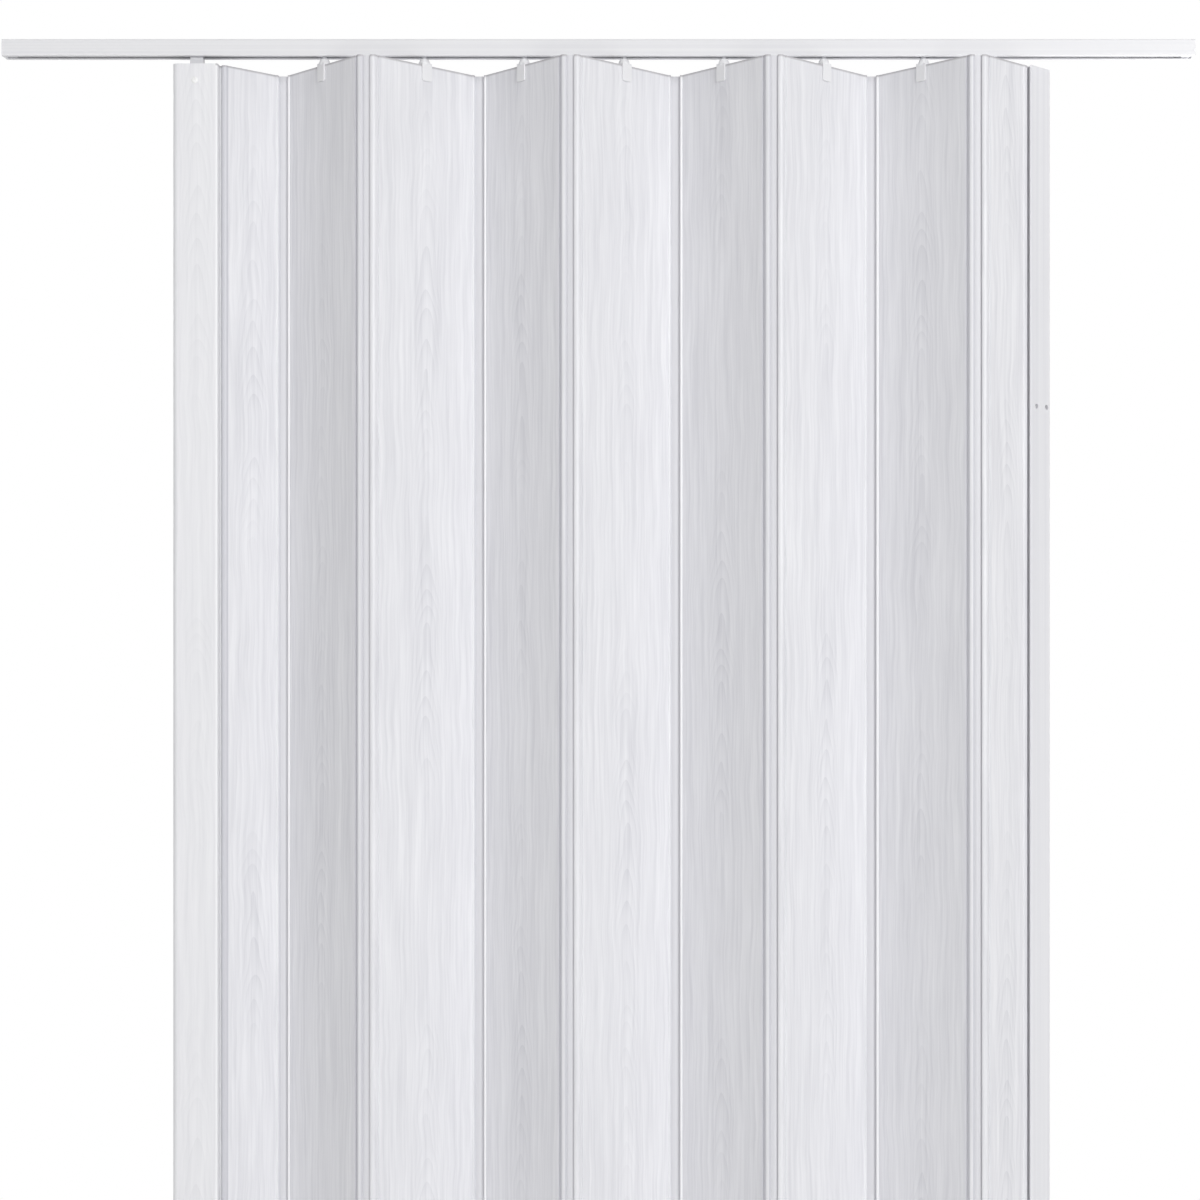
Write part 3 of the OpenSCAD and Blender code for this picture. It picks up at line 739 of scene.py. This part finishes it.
# %% Lead profile
FACE, HANGER = 9, -23                      # half its thickness; the hanger from the hinge axis
HANGER_X = LEAD_X + HANGER
SCREW_Z = TOP - 14
HANDLE_Z = [BOTTOM + 990 + side * 48 for side in (-1, 1)]  # heights of the long screws
lead_section = [(-42, FACE, 5), (-42, -FACE, 5), (-3.96, -FACE, 1.6), (-3.96, -WEB), (-NECK, -WEB),
                ("turn", 0, 0, AROUND), (-NECK, WEB), (-3.96, WEB), (-3.96, FACE, 1.6)]
lead = as_object(extrusion(BOTTOM, TOP, lead_section, arc=9), "lead_extrusion")
combine(lead, "DIFFERENCE", bars([(-40.7, -30.8), (-30, -16), (-15.2, -5.26)], 7.7,
                                 [(3.7, .5, .5, 3.7), (.5,), (.5, 2.7, 2.7, .5)]),
        drill(HANGER, -FACE, SCREW_Z, 1.7, 5), *(drill(HANGER, 0, z, 1.7, 24) for z in HANDLE_Z))
# The right corner and neck, zone 1, are painted white as a painted highlight, and the rest, zone 3,
# is printed paler as painted light.
press_grain(lead, -21, 0, lambda x, y: 3 if x < -7.9 else 1)
stand(lead, LEAD_X)
piece(lead, "lead_profile", "ash_pvc", "lead_profile")

# %% [markdown]
# ## Wall profile
# The profile that is screwed to the wall is an open channel: its face carries the screw holes
# in pairs, over two thicker bands, and two lips stiffen its open side. The face reaches over the
# hinge to hide it. Its bead sits on a neck like the lead profile's. It hangs folded back against
# the last slat's line, as a door does before it is fixed.

# %% Wall profile
wall_section = [(0.96, -7.3, .5), (26, -7.3, .6), (26, 1, .4), (21.6, 1, .3), (21.6, -.4, .3),
                (24.6, -.4, .3), (24.6, -4.4, .5), (18.4, -4.4), (18.4, -5.9), (11.5, -5.9),
                (11.5, -4.4), (5.36, -4.4, .5), (5.36, -.4, .3),
                (8.36, -.4, .3), (8.36, 1, .3), (3.96, 1, .4), (3.96, WEB), (NECK, WEB),
                ("turn", 0, 0, AROUND), (NECK, -WEB), (3.96, -WEB), (3.96, -5.9, .3),
                (0.96, -5.9, .5)]
HOLE_X = [14.98 + side * 6.5 for side in (-1, 1)]     # two columns of holes
HOLE_Z = [TOP - 286 - row * 724 for row in range(3)]  # in three rows
wall = as_object(extrusion(BOTTOM, TOP, wall_section, arc=15), "wall_extrusion")
combine(wall, "DIFFERENCE", *(drill(x, -6, z, 2.1, 4) for z in HOLE_Z for x in HOLE_X))
stand(wall, WALL_X, turn=FOLD)
piece(wall, "wall_profile", "ash_pvc", "wall_profile", finish="upright")

# %% [markdown]
# ## Glider clips
# Each whole slat hangs from a white clip that sits astride its top edge: a cone-topped shoulder
# with a bore for the glider's neck, and a tab down each face with a nub that snaps into the
# slat. The shoulder is turned on the lathe helper, the tabs are flat extrusions with rounded
# lower corners, and a Boolean joins them and opens the room for the glider's button head.

# %% Clips
def tab(side):
    """One tab in the slat's own frame. It is drawn lying, with x and height as its outline."""
    bm = extrusion(-0.65, 0.65, box_items(-4.75, 4.75, -34.5, -19.3, 1.6, 1.6, 0.5, 0.5), arc=15)
    bmesh.ops.dissolve_limit(bm, angle_limit=0.01, verts=bm.verts, edges=bm.edges)
    rim = [e for e in bm.edges if abs(e.verts[0].co.z - e.verts[1].co.z) < 1e-6
           and e.calc_face_angle() > 1]
    bmesh.ops.bevel(bm, geom=rim, offset=0.25, segments=2, profile=0.5, affect="EDGES",
                    material=-1)
    return placed(bm, y=side * 3.75, turn=90, axis="X")


room = [(0, -22), (3.5, -22), (3.5, -19), (2.08, -19), (2.08, -15), (0, -15)]
shoulder = [(0, -20.9), (5, -20.9, .3), (5, -19, .5), (3.5, -15.8, .5), (0, -15.8)]
clip = as_object(lathe(shoulder), "clip")
combine(clip, "UNION", tab(-1), tab(1))
combine(clip, "UNION", *(drill(0, side * 2.7, NUB_Z, 1.5, 1.2) for side in (-1, 1)))
combine(clip, "DIFFERENCE", lathe(room))
for i in range(2, 9):
    copy = bpy.data.objects.new(f"clip_{i}", clip.data.copy())
    scene.collection.objects.link(copy)
    stand(copy, slat_x(i), turn=FOLD if i % 2 else -FOLD)
    piece(copy, f"slat_{i}", "clip_white", f"glider_clip_{i}")
bpy.data.objects.remove(clip)

# %% [markdown]
# ## Gliders
# A glider is a shoe with rounded ends that slides inside the rail, on a thin neck with a button
# head under it. The shoe has a waist, so it touches the rail only along its upper and lower
# bands. A row of outlines at rising heights, joined by `bridge_loops`, gives that shape.

# %% Shoes, necks and button heads
SHOE_LEVELS = ((-12.4, .3), (-12.1, 0), (-10.2, 0), (-9.9, .3), (-9.9, .8), (-7.4, .8),
               (-7.4, .3), (-7.1, 0), (-5.2, 0), (-4.9, .3))     # heights and insets
SHOE_WIDTH = 10.8


def shoe(length):
    """A shoe: outlines of a bar with round ends at its levels, bridged."""
    bm = bmesh.new()
    loops = []
    for z, inset in SHOE_LEVELS:
        known = set(bm.verts)
        a, r = (length - SHOE_WIDTH) / 2, SHOE_WIDTH / 2 - inset
        outline(bm, [(a, -r), ("turn", a, 0, 180), (a, r), (-a, r), ("turn", -a, 0, 180), (-a, -r)])
        ring = [v for v in bm.verts if v not in known]
        bmesh.ops.translate(bm, verts=ring, vec=(0, 0, z))
        bmesh.ops.remove_doubles(bm, verts=ring, dist=1e-4)
        loops.append([e for e in bm.edges if all(v not in known for v in e.verts)])
    for lower, upper in zip(loops, loops[1:]):
        bmesh.ops.bridge_loops(bm, edges=lower + upper)
    bmesh.ops.holes_fill(bm, edges=loops[0] + loops[-1], sides=0)
    return merge(bm)


neck_section = [(0, -20.7), (3.2, -20.7, .3), (3.2, -19.3, .3), (2, -19.3), (2, -11), (0, -11)]
for i in range(2, 9):
    glider = as_object(placed(shoe(15), slat_x(i)), f"glider_{i}")
    combine(glider, "UNION", placed(lathe(neck_section, 32), slat_x(i)))
    piece(glider, f"slider_{i}", "acetal", f"slider_{i}")

# %% [markdown]
# ## The lead profile's hanger
# The lead profile hangs from a longer shoe with a flat neck, on a block that is pushed into its
# middle chamber and held by one small screw. Only the neck shows between the rail and the
# profile. The block has a pocket in its back, as a moulding has to keep its walls even.

# %% Hanger
def moved(bm):
    """A shape drawn about the hanger's middle, moved to it."""
    return placed(bm, HANGER_X)


hanger = as_object(moved(block(-6.9, 6.9, -7.6, 7.6, -47.1, -21.1, 0.5)), "hanger_moulding")
combine(hanger, "UNION", moved(block(-5.5, 5.5, -2.9, 2.9, -21.6, -11, 0.5)), moved(shoe(24)))
combine(hanger, "DIFFERENCE", moved(block(-3.9, 3.9, 3, 10, -44.1, -24.1, 0.5)),
        drill(HANGER_X, -2, SCREW_Z, 1.5, 14))
piece(hanger, "lead_profile", "acetal", "lead_hanger")

# %% [markdown]
# ## Screws
# The small enamelled screw has a domed pan head with a cross recess. The long screws that draw
# the two handles together are the same shape in zinc-plated steel, and their heads sit deep in
# the back handle's grip. A cross recess is two crossed bars with a taper, cut from the head.

# %% Screws
def cross(width, depth):
    """A cross recess's cutting tool, pointing down from z = 0."""
    tools = []
    for turn in (0, 90):
        bm = bmesh.new()
        bmesh.ops.create_cube(bm, size=1)
        bmesh.ops.scale(bm, verts=bm.verts, vec=(width, width / 4.5, 2 * depth))
        low = [v for v in bm.verts if v.co.z < 0]
        bmesh.ops.scale(bm, verts=low, vec=(0.55, 0.55, 1))
        tools.append(placed(bm, turn=turn))
    return tools


def screw(name, head, shank, x, y, z, facing):
    """A pan-head screw whose seat is at y; head and shank are (radius, length)."""
    radius, high = head
    turned = lathe([(0, -shank[1]), (shank[0], -shank[1], .2), (shank[0], 0), (radius, 0, .15),
                    (radius - .15, high * .45, .5), (radius - 1.2, high, .8), (0, high)])
    tools = [placed(tool, z=high) for tool in cross(radius * 1.05, high * .55)]
    thing = combine(as_object(turned, name), "DIFFERENCE", *tools)
    thing.data.transform(Matrix.Translation((x, y, z))
                         @ Matrix.Rotation(math.radians(90 * facing), 4, "X"))
    return thing


small = screw("hanger_screw", (2.8, .9), (1.5, 5.3), HANGER_X, -FACE, SCREW_Z, 1)
piece(small, "lead_profile", "white_screw", "lead_hanger_screw")
SEAT, TIP = 35, -27                        # the long screws' two ends, along y
for n, z in enumerate(HANDLE_Z, 1):
    long = screw(f"handle_screw_{n}", (2.8, 1.8), (1.5, SEAT - TIP), HANGER_X, SEAT, z, -1)
    piece(long, "lead_profile", "zinc_steel", "handle_screws")

# %% [markdown]
# ## Handles
# A bow handle stands on each face of the lead profile: two feet, two posts and a round grip.
# One cap is pushed and turned all the way: `extrude_face_region` raises the foot and the post,
# `spin` bends the corner, another push makes the grip, and the same steps in reverse end at
# the second foot.

# %% Push and bend a cap
def push(bm, cap, vector, scale=1.0):
    """Extrude the cap face, scale it about its middle and move it; returns the new cap."""
    new = [f for f in bmesh.ops.extrude_face_region(bm, geom=[cap])["geom"]
           if isinstance(f, bmesh.types.BMFace)][0]
    middle = new.calc_center_median()
    bmesh.ops.scale(bm, verts=new.verts, vec=(scale,) * 3, space=Matrix.Translation(-middle))
    bmesh.ops.translate(bm, verts=new.verts, vec=vector)
    return new


def bend(bm, cap, centre):
    """Swing the cap by a quarter turn about an axis along x through the centre."""
    turned = bmesh.ops.spin(bm, geom=[cap], cent=centre, axis=(1, 0, 0),
                            angle=math.radians(90), steps=8)["geom_last"]
    return [f for f in turned if isinstance(f, bmesh.types.BMFace)][0]


def post(bm, cap, radii, rises, way):
    """Push the cap from each radius to the next, along y or against it."""
    for rise, old, new in zip(rises, radii, radii[1:]):
        cap = push(bm, cap, (0, way * rise, 0), new / old)
    return cap


test = bmesh.new()
bmesh.ops.create_circle(test, cap_ends=True, segments=8, radius=1)
bend(test, push(test, test.faces[:][0], (0, 0, 2)), (0, 2, 2))
print("test bend:", len(test.faces), "faces")
test.free()

# %% [markdown]
# ## Two bow handles
# The handle on the front is the mirror image of the one at the back, whose screws enter through
# its grip. The front one has blind holes, so that nothing shows on the room's side.

# %% Handles
RADII = (8, 8, 7.6, 6.8, 4.9, 4.5, 4.5, 5)            # up the foot and the post to the grip
RISES = (1.4, 0.7, 0.4, 0.3, 0.5, 16.7, 1)            # and the heights between them
BEND = 6                                              # radius of the corners


def bow(side):
    """A bow handle between the two posts, for the face at y = side * FACE."""
    bm = bmesh.new()
    low, high = HANDLE_Z
    lift = FACE + sum(RISES)
    bmesh.ops.create_circle(bm, cap_ends=True, segments=40, radius=RADII[0])
    placed(bm, 0, FACE, low, -90, "X")
    cap = post(bm, bm.faces[:][0], RADII, RISES, 1)
    cap = bend(bm, cap, (0, lift, low + BEND))
    cap = push(bm, cap, (0, 0, high - low - 2 * BEND))
    cap = bend(bm, cap, (0, lift, high - BEND))
    post(bm, cap, RADII[::-1], RISES[::-1], -1)
    if side < 0:
        bmesh.ops.scale(bm, verts=bm.verts, vec=(1, -1, 1))
    return moved(merge(bm))


for side, where in ((-1, "front"), (1, "back")):
    handle = as_object(bow(side), f"bow_handle_{where}")
    for z in HANDLE_Z:
        holes = ([drill(HANGER_X, 25, z, 1.7, 34), drill(HANGER_X, 42, z, 3, 14)] if side > 0
                 else [drill(HANGER_X, -18, z, 1.5, 20)])
        combine(handle, "DIFFERENCE", *holes)
    piece(handle, "lead_profile", "white_pvc", f"handle_{where}")

# %% [markdown]
# ## Floor
# The door hangs 9 mm above a plain pale floor. For the camera the floor fades into the white
# background away from the door, where it keeps the door's shadow, and a camera below the floor
# sees through it.

# %% Floor
CLEAR, HALF_FLOOR = 9, 3400                # the door's height above it, and half its width
bm = bmesh.new()
bmesh.ops.create_grid(bm, x_segments=1, y_segments=1, size=HALF_FLOOR)
floor = as_object(placed(bm, z=BOTTOM - CLEAR), "floor")
floor.data.transform(Matrix.Scale(MM, 4))
tree, shader = material("painted_studio_floor", "floor", 0.7, 1.5)
speckle(tree, shader, 0.012, "#EDEDED", "#F0F0F0", 0.00002)
seen = add(tree, "LightPath").outputs["Is Camera Ray"]
flat = add(tree, "Mapping", {"Vector": add(tree, "TexCoord").outputs["Object"],
                             "Scale": (1, 1, 0)})
away = add(tree, "VectorMath", {0: flat}, operation="LENGTH").outputs["Value"]
fade = add(tree, "MapRange", {"Value": away, "From Min": 0.9, "From Max": 2.8},
           interpolation_type="SMOOTHSTEP")
white = add(tree, "Emission", {"Color": linear("#FFFFFF"), "Strength": 1.0})
far = add(tree, "Math", {0: seen, 1: fade}, operation="MULTIPLY")
faded = add(tree, "MixShader", {0: far, 1: shader, 2: white})
behind = add(tree, "NewGeometry").outputs["Backfacing"]
below = add(tree, "Math", {0: seen, 1: behind}, operation="MULTIPLY")
both = add(tree, "MixShader", {0: below, 1: faded, 2: add(tree, "BsdfTransparent")})
tree.links.new(both.outputs[0], tree.nodes["Material Output"].inputs["Surface"])
floor.data.materials.append(finishes.pop("floor"))
print("floor", floor.dimensions.x, "m wide")

# %% [markdown]
# ## Background
# The photograph's background is pure white. More light would bleach the door, so the white
# comes from the world instead: rays that start at the camera, or are mirrored or let through on
# their way, meet a white of strength 1, and all others meet a much weaker one, which is the
# studio's soft light from all around.

# %% World
SKY = 0.38                                 # strength of the soft light from all around
world = bpy.data.worlds.new("studio")
scene.world = world
world.use_nodes = True
tree = world.node_tree
tree.nodes.clear()
path = add(tree, "LightPath")
clear = add(tree, "Math", {0: path.outputs["Is Glossy Ray"],
                           1: path.outputs["Is Transmission Ray"]}, operation="ADD")
shown = add(tree, "Math", {0: path.outputs["Is Camera Ray"], 1: clear}, operation="ADD",
            use_clamp=True)
dim, bright = (add(tree, "Background", {"Color": linear("#FFFFFF"), "Strength": strength})
               for strength in (SKY, 1.0))
both = add(tree, "MixShader", {0: shown, 1: dim, 2: bright})
add(tree, "OutputWorld", {0: both})
print("world strength", SKY)

# %% [markdown]
# ## Lamps
# In the photograph the slats that look to the right are the brighter ones, and the contrast is
# mild, so a large soft lamp stands in front and to the right, and a weaker one fills from the
# left. A third lights the back. A lamp of power P lights a surface at distance d about as
# P / (10 d squared), where 1 shows a colour as it is written.

# %% Lamps
def softbox(name, place, target, size, share):
    """A square area lamp that gives that share of the light on its target."""
    lamp = bpy.data.objects.new(name, bpy.data.lights.new(name, "AREA"))
    lamp.data.size = size
    way = Vector(target) - Vector(place)
    lamp.data.energy = math.pi ** 2 * way.length_squared * share
    lamp.location = place
    lamp.rotation_euler = way.to_track_quat("-Z", "Y").to_euler()
    scene.collection.objects.link(lamp)
    print(name, round(lamp.data.energy, 1), "W at", round(way.length, 2), "m")
    return lamp


softbox("key", (2.4, -4.6, 0.6), (0, 0, -0.7), 2.0, 0.49)
softbox("fill", (-2.6, -4.2, 0.2), (0, 0, -0.7), 2.5, 0.09)
softbox("back", (-1.5, 4.5, 1.0), (0, 0, -0.9), 2.5, 0.45)

# %% [markdown]
# ## A lamp for the rail alone
# In the photograph the rail's underside gets paler towards its right end. A small lamp under
# that end does the same. Light linking keeps its light, and its shadows, to the rail and the
# plugs, so that the slats below stay as they are.

# %% Lamp under the rail
under = softbox("under_rail", (0.75, 0, -0.36), (0.45, 0, -0.014), 0.1, 0.9)
rail_only = bpy.data.collections.new("rail_only")
for thing in (rail, *plugs):
    rail_only.objects.link(thing)
under.light_linking.receiver_collection = rail_only
under.light_linking.blocker_collection = rail_only
